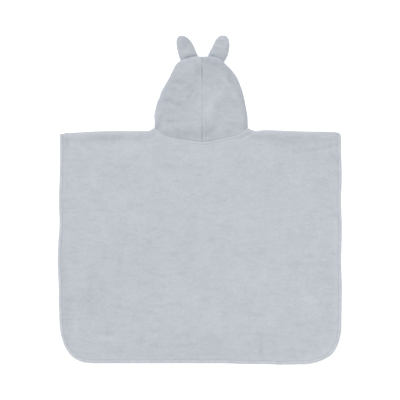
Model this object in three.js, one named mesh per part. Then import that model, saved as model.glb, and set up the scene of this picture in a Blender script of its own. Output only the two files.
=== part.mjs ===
// A toddler's hooded bath poncho in terry cloth, laid flat with its back up.
// Millimetres. +X is right, +Y points from the hem to the hood, +Z is up from the surface.
// The origin lies on the surface, under the middle of the poncho.
//
// Every piece is cloth of real thickness. The front panel lies on the surface, the back panel
// lies on it, the hood is folded flat round its own outline, and the ears lie under its ridge.

import * as THREE from 'three';

// Cloth
const terry = 2.6;
const earTerry = 2.0;
const layerGap = 0.3;
const seamGap = 0.4;

// Body, from the middle to each side and from the middle to the hem
const halfWidth = 331.5;
const hemDepth = 383.2;
const cornerRadius = 90;

// Binding round the sides and the hem of each panel
const bindingWidth = 7;
const bindingWall = 1.0;
const pressedTerry = 1.2;
const cutEdge = bindingWall + layerGap + 0.3;
const edgeZone = 10;
const edgeDrape = 26;

// Hood
const seamX = 6;
const ridgeFold = 8;
const ridgeStart = 9;
const faceTop = 286;
const faceGape = 13;
const earLift = 5.3;
const liftFrom = 290;
const liftTo = 315;

// How far each side of the body bulges past its half width, by height
const sides = [
  { y: -300, left: -2.4, right: 0.8 },
  { y: -240, left: 0.0, right: 1.8 },
  { y: -205, left: 0.2, right: 2.1 },
  { y: -141, left: 2.5, right: 0.4 },
  { y: -100, left: 1.0, right: 1.5 },
  { y: -60, left: -1.9, right: 1.9 },
  { y: 0, left: -0.5, right: 0.2 },
  { y: 57, left: -2.2, right: 1.9 },
  { y: 105, left: -2.8, right: 0.6 },
  { y: 150, left: -2.6, right: 0.2 },
];

// How far the hem sags below its depth
const hem = [
  { x: -250, sag: 0 },
  { x: 60, sag: 0 },
  { x: 100, sag: 1.6 },
  { x: 150, sag: 1.8 },
  { x: 195, sag: 3.3 },
  { x: 240, sag: 2.3 },
  { x: 270, sag: 1.9 },
];

// How far each lower corner bulges past its round, by the angle from the side to the hem
const corners = [
  { turn: 0, left: 0, right: 0 },
  { turn: 20, left: 0.2, right: 1.9 },
  { turn: 33, left: 2.6, right: 4.3 },
  { turn: 46, left: 5.0, right: 6.0 },
  { turn: 57, left: 5.8, right: 4.2 },
  { turn: 67, left: 4.5, right: 2.8 },
  { turn: 79, left: 1.7, right: 1.6 },
  { turn: 90, left: 0, right: 0 },
];

// The shoulder edges, which rise where they reach the hood
const leftShoulder = [
  { x: -334, y: 151.5 },
  { x: -326, y: 155.8 },
  { x: -300, y: 157.2 },
  { x: -280, y: 157.9 },
  { x: -250, y: 159.9 },
  { x: -193, y: 161.7 },
  { x: -148, y: 160.6 },
  { x: -128, y: 161.2 },
  { x: -117.5, y: 163 },
  { x: -107, y: 169.6 },
];
const rightShoulder = [
  { x: 112, y: 169.6 },
  { x: 118, y: 166 },
  { x: 131.5, y: 161.6 },
  { x: 140, y: 162.6 },
  { x: 155, y: 163.9 },
  { x: 213, y: 161.8 },
  { x: 245, y: 160.1 },
  { x: 290, y: 159.9 },
  { x: 320, y: 158.5 },
  { x: 334, y: 156.4 },
];

// The neckline of the back panel and the deeper one of the front panel
const neckline = [
  { x: -107, back: 169.6, front: 169.6 },
  { x: -99, back: 162.6, front: 156 },
  { x: -88, back: 154.2, front: 142 },
  { x: -68, back: 146.4, front: 126 },
  { x: -38, back: 142.4, front: 109 },
  { x: 6, back: 136.2, front: 100 },
  { x: 48, back: 142.6, front: 108 },
  { x: 78, back: 149.4, front: 126 },
  { x: 94, back: 153.8, front: 141 },
  { x: 105, back: 160.8, front: 156 },
  { x: 112, back: 169.6, front: 169.6 },
];

// The outline of the flat hood, from the shoulders to its top
const hoodOutline = [
  { y: 170.5, left: -106.4, right: 112.6 },
  { y: 186, left: -105.8, right: 112.2 },
  { y: 200, left: -106.6, right: 111.2 },
  { y: 228, left: -100.4, right: 106 },
  { y: 242, left: -94.1, right: 103.2 },
  { y: 256, left: -89.5, right: 99.6 },
  { y: 285, left: -73, right: 88.4 },
  { y: 306, left: -62.6, right: 73.8 },
  { y: 320, left: -53.9, right: 59.4 },
  { y: 328, left: -42.6, right: 51.6 },
  { y: 333.2, left: -26.5, right: 42.3 },
  { y: 336.8, left: -8, right: 28 },
  { y: 335.9, left: seamX, right: seamX },
];

// Heights of the hood from its neck seam (0) to its ridge (1): the roll of its folded side, and
// how much the middle of its back stands above that side
const hoodHeights = [
  { level: 0.0, roll: 4.7, crown: -1.8 },
  { level: 0.08, roll: 4.9, crown: 0.4 },
  { level: 0.25, roll: 5.2, crown: 3.4 },
  { level: 0.5, roll: 5.4, crown: 4.6 },
  { level: 0.8, roll: 5.6, crown: 2.6 },
  { level: 1.0, roll: 5.6, crown: 0.0 },
];

// The ears, from the ends sewn under the ridge to their tips
const leftEar = [
  { y: 317, from: -41.9, to: -3.4 },
  { y: 327, from: -44.6, to: -2.8 },
  { y: 338.8, from: -48.6, to: -4.9 },
  { y: 348, from: -50.9, to: -9.3 },
  { y: 357.6, from: -53, to: -12.9 },
  { y: 367, from: -54.2, to: -17.6 },
  { y: 376.4, from: -53.8, to: -23.8 },
  { y: 381.5, from: -52.2, to: -28.8 },
  { y: 385.4, from: -48.7, to: -35.2 },
  { y: 386.5, from: -44.6, to: -39.6 },
];
const rightEar = [
  { y: 317, from: 14.4, to: 51.8 },
  { y: 327, from: 16, to: 56 },
  { y: 338.8, from: 19.6, to: 63.1 },
  { y: 348, from: 23.6, to: 66.4 },
  { y: 357.6, from: 28.8, to: 67.9 },
  { y: 367, from: 33.4, to: 68.5 },
  { y: 376.4, from: 37.6, to: 67.5 },
  { y: 381.5, from: 41.8, to: 65 },
  { y: 385.4, from: 46.8, to: 61.4 },
  { y: 386.5, from: 50.8, to: 56.4 },
];

// Soft swells of the back panel, where the cloth stands a little off the panel below.
// long and wide are half sizes, and turn is the angle of the long one from +X.
const swells = [
  { x: 252, y: 128, long: 74, wide: 11, turn: -19, height: 2.6 },
  { x: 306, y: 82, long: 26, wide: 10, turn: -42, height: 1.6 },
  { x: -236, y: 132, long: 80, wide: 12, turn: 5, height: 1.5 },
  { x: -290, y: -190, long: 78, wide: 15, turn: 84, height: 1.8 },
  { x: -188, y: -160, long: 40, wide: 17, turn: 97, height: 1.3 },
  { x: -146, y: -330, long: 34, wide: 15, turn: 74, height: 1.5 },
  { x: 150, y: -345, long: 40, wide: 16, turn: 100, height: 1.5 },
  { x: 210, y: -215, long: 54, wide: 21, turn: 64, height: 1.3 },
  { x: 40, y: -60, long: 120, wide: 30, turn: 12, height: 0.9 },
  { x: -70, y: 70, long: 90, wide: 24, turn: -22, height: 0.8 },
];

// Height of the back panel's shoulder roll over its seam allowances, by distance from the edge
const shoulderRoll = [
  { inward: 0, rise: 0.05 },
  { inward: 3, rise: 1.9 },
  { inward: 7, rise: 2.4 },
  { inward: 13, rise: 1.0 },
  { inward: 24, rise: 0 },
  { inward: 60, rise: 0 },
];

// Columns and rows of the grids
const shoulderColumns = [0, 0.07, 0.18, 0.36, 0.56, 0.76, 0.9];
const topRows = [0, 1.5, 4, 8, 13, 20, 32, 58, 96, 144, 200, 260, 320, 376, 424];
const cornerSteps = 6;
const neckSteps = 9;
const foldSteps = 8;
const hoodSteps = 17;
const earSteps = 6;

const { clamp, degToRad, lerp, smoothstep } = THREE.MathUtils;

// Smooth value of one column of a table whose rows stand in order of another column
function read(table, order, column, at) {
  const last = table.length - 1;
  let i = 0;
  while (i < last - 1 && table[i + 1][order] < at) {
    i += 1;
  }
  const slope = (k) => {
    const before = table[Math.max(k - 1, 0)];
    const after = table[Math.min(k + 1, last)];
    return (after[column] - before[column]) / (after[order] - before[order]);
  };
  const from = table[i];
  const to = table[i + 1];
  const span = to[order] - from[order];
  const t = clamp((at - from[order]) / span, 0, 1);
  const u = 1 - t;
  return (
    from[column] * u * u * (1 + 2 * t) +
    to[column] * t * t * (1 + 2 * u) +
    slope(i) * span * t * u * u -
    slope(i + 1) * span * t * t * u
  );
}

// A closed wall of cloth. Patches are grids of middle points that share their edge points, and
// the wall is half its thickness to each side of them. A point with a flush direction lies on a
// seam, so its two sides stay in the plane across that direction.
function clothWall(patches, thickness) {
  const points = [];
  const found = new Map();
  const indexOf = (p) => {
    const key = `${p.x.toFixed(3)} ${p.y.toFixed(3)} ${p.z.toFixed(3)}`;
    if (!found.has(key)) {
      found.set(key, points.length);
      points.push(p);
    }
    return found.get(key);
  };
  const faces = [];
  for (const grid of patches) {
    for (let r = 0; r + 1 < grid.length; r += 1) {
      for (let c = 0; c + 1 < grid[r].length; c += 1) {
        const [a, b] = [indexOf(grid[r][c]), indexOf(grid[r][c + 1])];
        const [d, e] = [indexOf(grid[r + 1][c]), indexOf(grid[r + 1][c + 1])];
        faces.push([a, d, e], [a, e, b]);
      }
    }
  }
  const real = faces.filter(([a, b, c]) => a !== b && b !== c && c !== a);
  const normals = points.map(() => new THREE.Vector3());
  for (const face of real) {
    const [a, b, c] = face.map((i) => points[i]);
    const across = b.clone().sub(a).cross(c.clone().sub(a));
    face.forEach((i) => normals[i].add(across));
  }
  const open = new Map();
  for (const [a, b, c] of real) {
    for (const [from, to] of [[a, b], [b, c], [c, a]]) {
      if (open.has(`${to} ${from}`)) {
        open.delete(`${to} ${from}`);
      } else {
        open.set(`${from} ${to}`, [from, to]);
      }
    }
  }
  const positions = [];
  for (const side of [1, -1]) {
    points.forEach((p, i) => {
      const n = normals[i];
      if (p.flush) {
        n.addScaledVector(p.flush, -n.dot(p.flush));
      }
      const half = 0.5 * (p.thick ?? thickness) * side;
      positions.push(...p.clone().addScaledVector(n.normalize(), half).toArray());
    });
  }
  const under = points.length;
  const index = [];
  for (const [a, b, c] of real) {
    index.push(a, b, c, a + under, c + under, b + under);
  }
  for (const [a, b] of open.values()) {
    index.push(a, a + under, b + under, a, b + under, b);
  }
  const geometry = new THREE.BufferGeometry();
  geometry.setAttribute('position', new THREE.Float32BufferAttribute(positions, 3));
  geometry.setIndex(index);
  geometry.computeVertexNormals();
  return geometry;
}

// One section swept along a chain of stations, each of which turns a section point into a place
function sweep(stations, section) {
  const positions = [];
  for (const place of stations) {
    for (const point of section) {
      positions.push(...place(point).toArray());
    }
  }
  const around = section.length;
  const index = [];
  for (let s = 0; s + 1 < stations.length; s += 1) {
    for (let i = 0; i < around; i += 1) {
      const next = (i + 1) % around;
      const [a, b] = [s * around + i, s * around + next];
      index.push(a, b + around, a + around, a, b, b + around);
    }
  }
  const flat = section.map((p) => new THREE.Vector2(p.inward, p.z));
  const last = (stations.length - 1) * around;
  for (const [a, b, c] of THREE.ShapeUtils.triangulateShape(flat, [])) {
    index.push(a, c, b, last + a, last + b, last + c);
  }
  const geometry = new THREE.BufferGeometry();
  geometry.setAttribute('position', new THREE.Float32BufferAttribute(positions, 3));
  geometry.setIndex(index);
  geometry.computeVertexNormals();
  return geometry;
}

// The top edge of a panel at x, which is its shoulders with its neckline between them
function topEdge(x, layer) {
  if (x < neckline[0].x) {
    return read(leftShoulder, 'x', 'y', x);
  }
  if (x > neckline[neckline.length - 1].x) {
    return read(rightShoulder, 'x', 'y', x);
  }
  return read(neckline, 'x', layer, x);
}

// The outer edge of a panel, as stations with a place and an outward direction: down the left
// side, round its corner, along the hem and up the right side
function edgeStations(layer, columns) {
  const side = (sign) => {
    const name = sign < 0 ? 'left' : 'right';
    const edgeX = (y) => sign * (halfWidth + read(sides, 'y', name, y));
    const topX = edgeX(150);
    const top = topEdge(topX, layer);
    const rows = topRows.map((down) => ({
      at: new THREE.Vector2(edgeX(top - down), top - down),
      out: new THREE.Vector2(sign, 0),
    }));
    const centre = new THREE.Vector2(sign * (halfWidth - cornerRadius), cornerRadius - hemDepth);
    for (let i = 0; i <= cornerSteps; i += 1) {
      const degrees = (90 * i) / cornerSteps;
      const turn = degToRad(degrees);
      const out = new THREE.Vector2(sign * Math.cos(turn), -Math.sin(turn));
      const at = centre.clone().addScaledVector(out, cornerRadius + read(corners, 'turn', name, degrees));
      at.x += sign * read(sides, 'y', name, at.y) * Math.cos(turn);
      at.y -= read(hem, 'x', 'sag', at.x) * Math.sin(turn);
      rows.push({ at, out });
    }
    return rows;
  };
  const left = side(-1);
  const right = side(1);
  const flat = halfWidth - cornerRadius;
  const along = columns.slice(1, -1).map((share) => {
    const x = share * flat;
    return {
      at: new THREE.Vector2(x, -hemDepth - read(hem, 'x', 'sag', x)),
      out: new THREE.Vector2(0, -1),
    };
  });
  return { left, along, right };
}

// Where the columns of a panel stand across it, from -1 at its left side to 1 at its right
function panelColumns() {
  const reach = halfWidth - edgeZone;
  const [neckLeft, neckRight] = [neckline[0].x, neckline[neckline.length - 1].x];
  const shares = shoulderColumns.map((s) => lerp(-reach, neckLeft, s));
  for (let i = -neckSteps; i <= neckSteps; i += 1) {
    shares.push(neckAt(i / neckSteps));
  }
  shares.push(...shoulderColumns.map((s) => lerp(reach, neckRight, s)).reverse());
  return shares.map((x) => x / reach);
}

// The x of the neckline at a share of its half, closer together near the shoulders
function neckAt(share) {
  const end = share < 0 ? neckline[0].x : neckline[neckline.length - 1].x;
  const eased = Math.sin(0.5 * Math.PI * Math.abs(share)) ** 0.85;
  return lerp(seamX, end, lerp(Math.abs(share), eased, 0.6));
}

// How far a point of a panel lies inside its sides and its hem
function insideEdge(x, y) {
  const beyondX = Math.abs(x) - (halfWidth - cornerRadius);
  const beyondY = -y - (hemDepth - cornerRadius);
  if (beyondX > 0 && beyondY > 0) {
    return cornerRadius - Math.hypot(beyondX, beyondY);
  }
  return cornerRadius - Math.max(beyondX, beyondY);
}

// Middle height of the back panel along its neck seam, level with the hood there
function neckHeight(share) {
  const side = 0.5 * terry + hoodHeights[0].roll;
  return side + hoodHeights[0].crown * (1 - share * share);
}

const frontMiddle = 0.5 * terry;
const backMiddle = frontMiddle + terry + layerGap;
const bindingHeight = 2 * (bindingWall + layerGap) + pressedTerry;
const frontEdgeMiddle = 0.5 * bindingHeight;
const backEdgeMiddle = frontEdgeMiddle + bindingHeight + layerGap;

// Middle height of a panel at a point that lies inward from its side or hem, and down from its top
function panelHeight(layer, x, y, inward, down) {
  if (layer === 'front') {
    return lerp(frontEdgeMiddle, frontMiddle, smoothstep(inward, bindingWidth, edgeZone + 3));
  }
  let rise = 0;
  for (const s of swells) {
    const turn = degToRad(s.turn);
    const [dx, dy] = [x - s.x, y - s.y];
    const long = (dx * Math.cos(turn) + dy * Math.sin(turn)) / s.long;
    const wide = (dy * Math.cos(turn) - dx * Math.sin(turn)) / s.wide;
    rise += s.height * Math.exp(-long * long - wide * wide);
  }
  const calm = smoothstep(inward, bindingWidth, 2 * edgeDrape) * smoothstep(down, 8, 40);
  const neckLeft = neckline[0].x;
  const neckRight = neckline[neckline.length - 1].x;
  const overNeck = x > neckLeft && x < neckRight;
  const share = x < seamX ? (seamX - x) / (seamX - neckLeft) : (x - seamX) / (neckRight - seamX);
  const seam = (neckHeight(clamp(share, 0, 1)) - backMiddle) * (1 - smoothstep(down, 10, 60));
  const roll = read(shoulderRoll, 'inward', 'rise', down);
  const nearNeck = 1 - smoothstep(share - 1, 0, 0.12);
  const top = overNeck ? seam : lerp(roll, Math.max(seam, roll), nearNeck);
  const drape = smoothstep(inward, bindingWidth, edgeDrape);
  return lerp(backEdgeMiddle, backMiddle + top + rise * calm, drape);
}

// A body panel with its thinner edge inside the binding
function panel(layer) {
  const columns = panelColumns();
  const { left, along, right } = edgeStations(layer, columns);
  const point = (x, y, inward, down) => {
    const p = new THREE.Vector3(x, y, panelHeight(layer, x, y, inward, down));
    p.thick = lerp(pressedTerry, terry, smoothstep(inward, bindingWidth, edgeZone));
    return p;
  };
  const inset = (station, inward, down) => {
    const at = station.at.clone().addScaledVector(station.out, -inward);
    return point(at.x, at.y, inward, down);
  };
  const downOf = (r) => (r < topRows.length ? topRows[r] : 500);
  const rows = left.map((station, r) => {
    const start = inset(station, edgeZone, downOf(r));
    const end = inset(right[r], edgeZone, downOf(r));
    const shareAt = (top, p) => (top - p.y) / (top + hemDepth - edgeZone);
    const shares = [shareAt(left[0].at.y, start), shareAt(right[0].at.y, end)];
    const reach = halfWidth - edgeZone;
    const middle = columns.slice(1, -1).map((s, i) => {
      const side = s < 0 ? -start.x : end.x;
      const drift = (side - reach) * Math.sign(s) * Math.abs(s) ** 8;
      const x = r < topRows.length ? s * reach + drift : s * side;
      const top = topEdge(s * reach, layer);
      const bottom = -hemDepth - read(hem, 'x', 'sag', x) + edgeZone;
      const isLast = r === left.length - 1;
      const y = isLast ? bottom : lerp(top, bottom, lerp(...shares, 0.5 + 0.5 * s));
      const atX = isLast ? along[i].at.x : x;
      return point(atX, y, isLast ? edgeZone : insideEdge(x, y), top - y);
    });
    return [start, ...middle, end];
  });
  const chain = [...left, ...along, ...right.slice().reverse()];
  const last = left.length - 1;
  const downs = chain.map((_, i) => {
    const r = i <= last ? i : i - last - along.length - 1;
    return i <= last ? downOf(i) : r < 0 ? 500 : downOf(last - r);
  });
  const strip = [edgeZone, 8.2, bindingWidth - 0.6, cutEdge].map((inward) =>
    chain.map((station, i) => inset(station, inward, downs[i])),
  );
  return clothWall([rows, strip], terry);
}

// The tape that is folded round the sides and the hem of a panel
function binding(layer) {
  const middle = layer === 'front' ? frontEdgeMiddle : backEdgeMiddle;
  const { left, along, right } = edgeStations(layer, panelColumns());
  const chain = [...left, ...along, ...right.slice().reverse()];
  const stations = chain.map((station) => (point) => {
    const at = station.at.clone().addScaledVector(station.out, -point.inward);
    return new THREE.Vector3(at.x, at.y, middle + point.z);
  });
  const half = 0.5 * bindingHeight;
  const slot = half - bindingWall;
  const section = [
    { inward: bindingWidth, z: half - 0.3 },
    { inward: bindingWidth - 0.8, z: half },
    { inward: 1.4, z: half },
    { inward: 0.3, z: 0.6 * half },
    { inward: 0, z: 0 },
    { inward: 0.3, z: -0.6 * half },
    { inward: 1.4, z: -half },
    { inward: bindingWidth - 0.8, z: -half },
    { inward: bindingWidth, z: -half + 0.3 },
    { inward: bindingWidth, z: -slot },
    { inward: bindingWall + 0.1, z: -slot },
    { inward: bindingWall + 0.1, z: slot },
    { inward: bindingWidth, z: slot },
  ];
  return sweep(stations, section);
}

// Where a level of the hood runs: from the centre line to the inside of the fold. At level 0 it
// is the neck seam itself, and it straightens towards the ridge.
function levelLine(layer, sign, level, start, inner) {
  const neck = Array.from({ length: neckSteps }, (_, j) => {
    const x = neckAt((sign * j) / neckSteps);
    return new THREE.Vector2(x, read(neckline, 'x', layer, x) + seamGap);
  });
  const [first, last] = [neck[0], neck[neckSteps - 1]];
  const bend = (1 - level) ** 3;
  return neck.map((p) => {
    const share = (p.x - first.x) / (last.x - first.x);
    const line = start.clone().lerp(inner, share);
    const dip = p.y - lerp(first.y, last.y, share);
    return { at: new THREE.Vector2(line.x, line.y + dip * bend), share };
  });
}

// One half of the hood: its back from the centre seam out, its fold round the outline, and its
// front lying under it, as far as the face opening or the seam above that
function hoodHalf(side) {
  const sign = side === 'left' ? -1 : 1;
  const seam = seamX + sign * 0.5 * seamGap;
  const outline = new THREE.SplineCurve(
    hoodOutline.map((row) => new THREE.Vector2(row[side], row.y)),
  );
  const folds = outline.getSpacedPoints(hoodSteps);
  const peak = folds[hoodSteps].y - ridgeFold - ridgeStart;
  const floorAt = (y) => 0.5 * terry + earLift * smoothstep(y, liftFrom, liftTo);
  const neckY = (layer, x) => read(neckline, 'x', layer, x) + seamGap;
  const neckEnd = neckAt((sign * (neckSteps - 1)) / neckSteps);

  const grid = folds.map((edge, k) => {
    const level = k / hoodSteps;
    const inward = folds[Math.min(k + 1, hoodSteps)].clone().sub(folds[Math.max(k - 1, 0)]);
    inward.rotateAround(new THREE.Vector2(), sign * 0.5 * Math.PI).normalize();
    if (k === hoodSteps) {
      inward.set(0, -1);
    }
    const fold = edge.clone().addScaledVector(inward, 0.5 * terry);
    const inset = inward.multiplyScalar(ridgeFold);
    const innerOf = (layer) => {
      const onNeck = new THREE.Vector2(neckEnd, neckY(layer, neckEnd));
      return onNeck.lerp(fold.clone().add(inset), smoothstep(level, 0, 0.14));
    };
    const centreY = (layer) => lerp(neckY(layer, seamX), peak, level ** 0.9);
    const gape = clamp((faceTop - centreY('front')) / (faceTop - neckY('front', seamX)), 0, 1);
    const starts = {
      back: new THREE.Vector2(seam, centreY('back')),
      front: new THREE.Vector2(seam + sign * faceGape * Math.sin(Math.PI * gape), centreY('front')),
    };
    const inner = { back: innerOf('back'), front: innerOf('front') };
    const low = floorAt(inner.back.y);
    const high = low + read(hoodHeights, 'level', 'roll', level);
    const crown = read(hoodHeights, 'level', 'crown', level);

    const back = levelLine('back', sign, level, starts.back, inner.back).map(
      ({ at, share }) => new THREE.Vector3(at.x, at.y, high + crown * (1 - share * share)),
    );
    const front = levelLine('front', sign, level, starts.front, inner.front).map(
      ({ at, share }) => new THREE.Vector3(at.x, at.y, lerp(floorAt(at.y), low, share ** 4)),
    );
    const turn = [];
    for (let i = 1; i < foldSteps; i += 1) {
      const angle = (Math.PI * i) / foldSteps;
      const from = 2 * i < foldSteps ? inner.back : inner.front;
      const at = from.clone().lerp(fold, Math.sin(angle));
      turn.push(new THREE.Vector3(at.x, at.y, lerp(low, high, 0.5 + 0.5 * Math.cos(angle))));
    }
    if (k === hoodSteps) {
      [...back, ...turn, ...front].forEach((p) => p.setX(seam));
    }
    if (k === 0) {
      const flush = (points, from) => {
        const line = fold.clone().sub(from);
        points.forEach((p) => {
          p.flush = new THREE.Vector3(-line.y, line.x, 0).normalize();
        });
      };
      flush(turn.slice(0, foldSteps / 2), inner.back);
      flush(turn.slice(foldSteps / 2), inner.front);
    }
    const line = [...back, ...turn, ...front.reverse()];
    line.filter((p) => Math.abs(p.x - seam) < 0.01).forEach((p) => {
      p.flush = new THREE.Vector3(1, 0, 0);
    });
    return line;
  });
  return clothWall([side === 'left' ? grid.reverse() : grid], terry);
}

// One layer of an ear, of which the upper one is filled out a little by the turned seam
function earLayer(rows, layer) {
  const grid = rows.map((row, r) => {
    const along = r / (rows.length - 1);
    return Array.from({ length: earSteps + 1 }, (_, c) => {
      const share = (2 * c) / earSteps - 1;
      const puff = (0.5 + 1.1 * smoothstep(along, 0.2, 0.5)) * (1 - share * share) * (1 - along ** 4);
      const lower = 0.5 * earTerry;
      const z = layer === 'front' ? lower : lower + earTerry + layerGap + puff;
      const p = new THREE.Vector3(lerp(row.from, row.to, 0.5 + 0.5 * share), row.y, z);
      if (Math.abs(share) === 1 || along === 1) {
        p.flush = along === 1 ? new THREE.Vector3(0, 1, 0) : new THREE.Vector3(1, 0, 0);
      }
      return p;
    });
  });
  return clothWall([grid.reverse()], earTerry);
}

function cloth(name, geometry, colour) {
  const material = new THREE.MeshStandardMaterial({ color: colour, roughness: 0.95, metalness: 0 });
  const mesh = new THREE.Mesh(geometry, material);
  mesh.name = name;
  return mesh;
}

const bodyColour = 0xc2c7cd;
const hoodColour = 0xbdc2c9;
const bindingColour = 0xc4c9cf;

const poncho = new THREE.Group();
poncho.add(
  cloth('body_front', panel('front'), bodyColour),
  cloth('body_back', panel('back'), bodyColour),
  cloth('edge_binding_front', binding('front'), bindingColour),
  cloth('edge_binding_back', binding('back'), bindingColour),
  cloth('hood_left', hoodHalf('left'), hoodColour),
  cloth('hood_right', hoodHalf('right'), hoodColour),
  cloth('ear_left_front', earLayer(leftEar, 'front'), hoodColour),
  cloth('ear_left_back', earLayer(leftEar, 'back'), hoodColour),
  cloth('ear_right_front', earLayer(rightEar, 'front'), hoodColour),
  cloth('ear_right_back', earLayer(rightEar, 'back'), hoodColour),
);

export default poncho;
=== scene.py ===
# %% [markdown]
# A toddler's hooded bath poncho in terry cloth, laid flat with its back up.
#
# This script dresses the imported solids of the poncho. Each panel, hood half, ear layer and
# binding is made again here as a fine shell on the form of its solid, because cloth needs small
# swells, creases and stitch lines that the plain solids leave out.

# %% Load the frame
import math

import bmesh
import bpy
from mathutils import Matrix, Vector, noise


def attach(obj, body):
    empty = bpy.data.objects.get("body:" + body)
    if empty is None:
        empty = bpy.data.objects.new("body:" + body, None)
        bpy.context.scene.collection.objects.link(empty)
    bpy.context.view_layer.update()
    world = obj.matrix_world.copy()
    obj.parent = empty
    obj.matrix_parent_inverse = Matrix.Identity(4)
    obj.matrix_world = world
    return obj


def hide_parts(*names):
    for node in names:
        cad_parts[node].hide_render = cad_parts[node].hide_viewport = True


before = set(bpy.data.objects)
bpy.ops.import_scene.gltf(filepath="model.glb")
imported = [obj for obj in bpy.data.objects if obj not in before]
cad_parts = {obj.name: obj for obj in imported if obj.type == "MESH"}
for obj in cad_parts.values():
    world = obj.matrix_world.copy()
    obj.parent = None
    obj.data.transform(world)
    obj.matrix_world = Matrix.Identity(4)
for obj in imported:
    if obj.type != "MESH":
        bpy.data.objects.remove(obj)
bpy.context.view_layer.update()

print("solids:", sorted(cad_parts))

# %% [markdown]
# Sizes. Blender counts in metres and a seamstress in millimetres, so a size is written in
# millimetres times `mm`. The outline tables are short: a row for each bend of the edge, and a
# smooth curve between the rows. They could be long traced outlines, but a garment is cut from
# few curves, and few rows are easy to change.

# %% Named sizes
mm = 0.001

terry = 2.6 * mm
ear_terry = 2.0 * mm
pile_reach = 0.2 * mm
layer_gap = 0.3 * mm
seam_gap = 0.4 * mm

half_width = 331.5 * mm
hem_depth = 383.2 * mm
corner_radius = 90 * mm
shoulder_y = 162 * mm

tape_width = 7 * mm
tape_wall = 1.0 * mm
pressed_terry = 1.2 * mm
tape_height = 2 * (tape_wall + layer_gap) + pressed_terry
edge_zone = 10 * mm
edge_drape = 22 * mm

sides_end = 150 * mm

seam_x = 6 * mm
ridge_fold = 8 * mm
ridge_start = 9 * mm
face_top = 286 * mm
face_gape = 13 * mm
ear_lift = 5.3 * mm
lift_from = 290 * mm
lift_to = 315 * mm

front_middle = 0.5 * terry
back_middle = front_middle + terry + layer_gap
front_edge_middle = 0.5 * tape_height
back_edge_middle = front_edge_middle + tape_height + layer_gap


# %% Tables and how they are read
def table(columns, *rows, plain=""):
    """A table by columns. Its lengths are written in millimetres; plain columns are no lengths."""
    names = columns.split()
    unit = [1.0 if name in plain.split() else mm for name in names]
    return {name: [row[i] * unit[i] for row in rows] for i, name in enumerate(names)}


def read(rows, order, column, at):
    """The smooth value of one column where another column reaches a value."""
    x, y = rows[order], rows[column]
    last = len(x) - 1
    i = 0
    while i < last - 1 and x[i + 1] < at:
        i += 1

    def slope(k):
        before, after = max(k - 1, 0), min(k + 1, last)
        return (y[after] - y[before]) / (x[after] - x[before])

    span = x[i + 1] - x[i]
    t = min(max((at - x[i]) / span, 0.0), 1.0)
    u = 1 - t
    ends = y[i] * u * u * (1 + 2 * t) + y[i + 1] * t * t * (1 + 2 * u)
    return ends + slope(i) * span * t * u * u - slope(i + 1) * span * t * t * u


def mix(a, b, share):
    return a + (b - a) * share


def ramp(value, low, high):
    """0 below low, 1 above high, and a soft step between them."""
    t = min(max((value - low) / (high - low), 0.0), 1.0)
    return t * t * (3 - 2 * t)


# How far each side of the body bulges past its half width, by height
sides = table(
    "y left right",
    (-300, -2.4, 0.8),
    (-240, 0, 1.8),
    (-205, 0.2, 2.1),
    (-141, 2.5, 0.4),
    (-100, 1.0, 1.5),
    (-60, -1.9, 1.9),
    (0, -0.5, 0.2),
    (57, -2.2, 1.9),
    (105, -2.8, 0.6),
    (150, -2.6, 0.2),
)
# How far the hem sags below its depth
hem = table(
    "x sag", (-250, 0), (60, 0), (100, 1.6), (150, 1.8), (195, 3.3), (240, 2.3), (270, 1.9)
)
# How far each lower corner bulges past its round, by the angle from side to hem
corners = table(
    "turn left right",
    (0, 0, 0),
    (20, 0.2, 1.9),
    (33, 2.6, 4.3),
    (46, 5, 6),
    (57, 5.3, 3.6),
    (67, 3.7, 1.9),
    (79, 1.1, 0.8),
    (90, 0, 0),
    plain="turn",
)
# The shoulder edges, from the sides of the body to the neck
left_shoulder = table(
    "x y",
    (-334, 151.5),
    (-326, 156.5),
    (-300, 157.8),
    (-280, 158.8),
    (-250, 160.5),
    (-193, 161.9),
    (-148, 161.7),
    (-128, 162.0),
    (-117.5, 163),
    (-107, 169.6),
)
right_shoulder = table(
    "x y",
    (112, 169.6),
    (118, 166),
    (131.5, 161.6),
    (140, 162.6),
    (155, 163.9),
    (213, 161.8),
    (245, 160.7),
    (290, 160.1),
    (320, 159.2),
    (334, 158.2),
)
# The necklines of the back panel and, deeper, of the front panel
neckline = table(
    "x back front",
    (-107, 169.6, 169.6),
    (-99, 162.6, 156),
    (-88, 154.2, 142),
    (-68, 146.4, 126),
    (-38, 142.4, 109),
    (6, 136.2, 100),
    (48, 142.6, 108),
    (78, 149.4, 126),
    (94, 153.8, 141),
    (105, 160.8, 156),
    (112, 169.6, 169.6),
)
# The outline of the flat hood, from the shoulders to its top
hood_outline = table(
    "y left right",
    (170.5, -106.4, 112.6),
    (186, -105.8, 112.2),
    (200, -106.6, 111.2),
    (228, -100.4, 106),
    (242, -94.1, 103.2),
    (256, -89.5, 99.6),
    (285, -73, 88.4),
    (306, -62.6, 73.8),
    (320, -53.9, 59.4),
    (328, -42.6, 51.6),
    (333.2, -26.5, 42.3),
    (336.8, -8, 28),
    (335.9, 6, 6),
)
# How high the fold of the hood rolls and its middle crowns, from neck to top
hood_heights = table(
    "level roll crown",
    (0.0, 4.7, -1.8),
    (0.08, 4.9, 0.4),
    (0.25, 5.2, 3.4),
    (0.5, 5.4, 4.6),
    (0.8, 5.6, 2.6),
    (1.0, 5.6, 0.0),
    plain="level",
)
# How high the shoulder edge rolls over its seam, by the way in from it
shoulder_roll = table(
    "inward rise", (0, 0.05), (3, 1.8), (7, 2.7), (12, 2.0), (19, 0.5), (27, 0), (60, 0)
)
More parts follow.
